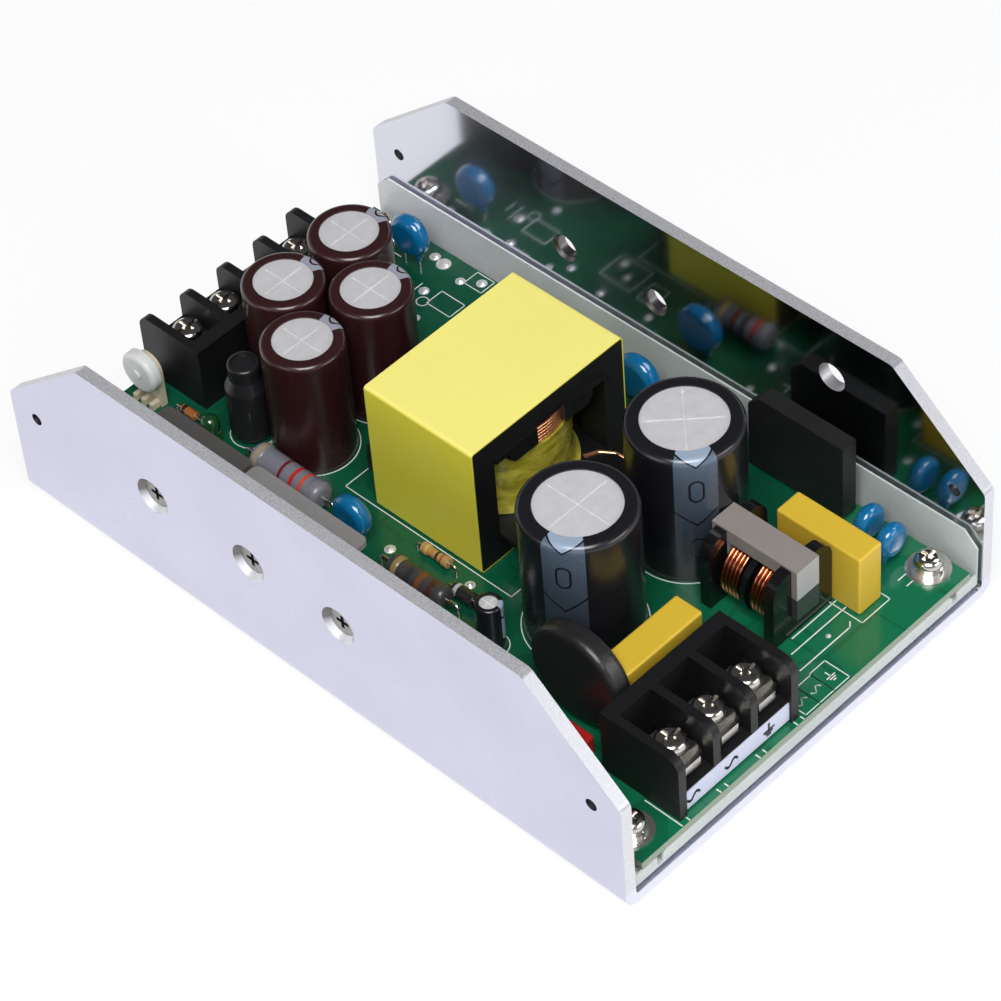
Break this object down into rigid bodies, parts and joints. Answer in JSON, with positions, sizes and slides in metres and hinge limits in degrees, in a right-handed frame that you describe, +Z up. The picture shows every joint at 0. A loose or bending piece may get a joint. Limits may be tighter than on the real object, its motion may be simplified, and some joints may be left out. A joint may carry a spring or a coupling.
{
  "type": "switching power supply",
  "caption": "Open-frame switching power supply: a green board with barrier terminals, capacitors, choke and transformer on a U-shaped aluminium bracket.",
  "frame": {"origin": "centre of the bracket's base, on its underside", "axes": "+X across the bracket towards the wall with the plain holes, +Y along it towards the output terminals, +Z up from the base"},
  "size_m": [0.096, 0.1504, 0.0443],
  "materials": {
    "bracket_aluminium": "satin",
    "angle_aluminium": "brushed",
    "insulating_film": "satin",
    "board_green": "gloss",
    "plated_brass": "satin",
    "nickel_screws": "gloss",
    "terminal_plastic": "satin",
    "label_paper": "matte",
    "terminal_metal": "gloss",
    "tinned_leads": "gloss",
    "ferrite_black": "matte",
    "ferrite_grey": "satin",
    "bobbin_plastic": "satin",
    "copper_wire": "gloss",
    "yellow_tape": "satin",
    "film_capacitor_yellow": "satin",
    "moulded_black": "matte",
    "thermistor_black": "satin",
    "fuse_red": "gloss",
    "disc_blue": "gloss",
    "resistor_grey": "satin",
    "resistor_tan": "satin",
    "diode_body": "gloss",
    "lamp_green": "gloss",
    "rod_choke_black": "satin",
    "trimmer_cream": "matte",
    "trimmer_white": "satin",
    "pad_rubber": "matte",
    "can_aluminium": "satin",
    "input_sleeve_black": "gloss",
    "output_sleeve_brown": "gloss"
  },
  "bodies": {
    "root": {"board_screws": "nickel_screws", "bracket": "bracket_aluminium", "bridge_rectifier": "moulded_black", "ceramic_capacitors": "disc_blue", "choke_bobbin": "bobbin_plastic", "choke_core": "ferrite_grey", "choke_pins": "tinned_leads", "choke_windings": "copper_wire", "circuit_board": "board_green", "component_leads": "tinned_leads", "control_capacitor_can": "can_aluminium", "control_capacitor_sleeve": "input_sleeve_black", "diodes": "diode_body", "filter_capacitor_1": "film_capacitor_yellow", "filter_capacitor_2": "film_capacitor_yellow", "flat_washers": "nickel_screws", "fuse": "fuse_red", "heat_angle_1": "angle_aluminium", "heat_angle_2": "angle_aluminium", "indicator_lamp": "lamp_green", "input_capacitor_1_can": "can_aluminium", "input_capacitor_1_sleeve": "input_sleeve_black", "input_capacitor_2_can": "can_aluminium", "input_capacitor_2_sleeve": "input_sleeve_black", "input_terminal_housing": "terminal_plastic", "input_terminal_label": "label_paper", "insulating_sheet": "insulating_film", "output_capacitor_1_can": "can_aluminium", "output_capacitor_1_sleeve": "output_sleeve_brown", "output_capacitor_2_can": "can_aluminium", "output_capacitor_2_sleeve": "output_sleeve_brown", "output_capacitor_3_can": "can_aluminium", "output_capacitor_3_sleeve": "output_sleeve_brown", "output_capacitor_4_can": "can_aluminium", "output_capacitor_4_sleeve": "output_sleeve_brown", "output_terminal_housing": "terminal_plastic", "power_resistor_1": "resistor_grey", "power_resistor_2": "resistor_grey", "power_resistor_3": "resistor_grey", "power_transistors": "moulded_black", "rod_choke": "rod_choke_black", "small_resistor": "resistor_tan", "spring_washers": "nickel_screws", "standoffs": "plated_brass", "terminal_clamps": "terminal_metal", "terminal_contacts": "terminal_metal", "terminal_screws": "nickel_screws", "thermal_pads": "pad_rubber", "thermistor": "thermistor_black", "transformer_bobbin": "bobbin_plastic", "transformer_core_lower": "ferrite_black", "transformer_core_tape": "yellow_tape", "transformer_core_upper": "ferrite_black", "transformer_pins": "tinned_leads", "transformer_winding": "copper_wire", "transformer_winding_tape": "yellow_tape", "trimmer_base": "trimmer_cream", "trimmer_wheel": "trimmer_white", "wall_nuts": "nickel_screws", "wall_screws": "nickel_screws"}
  },
  "joints": []
}
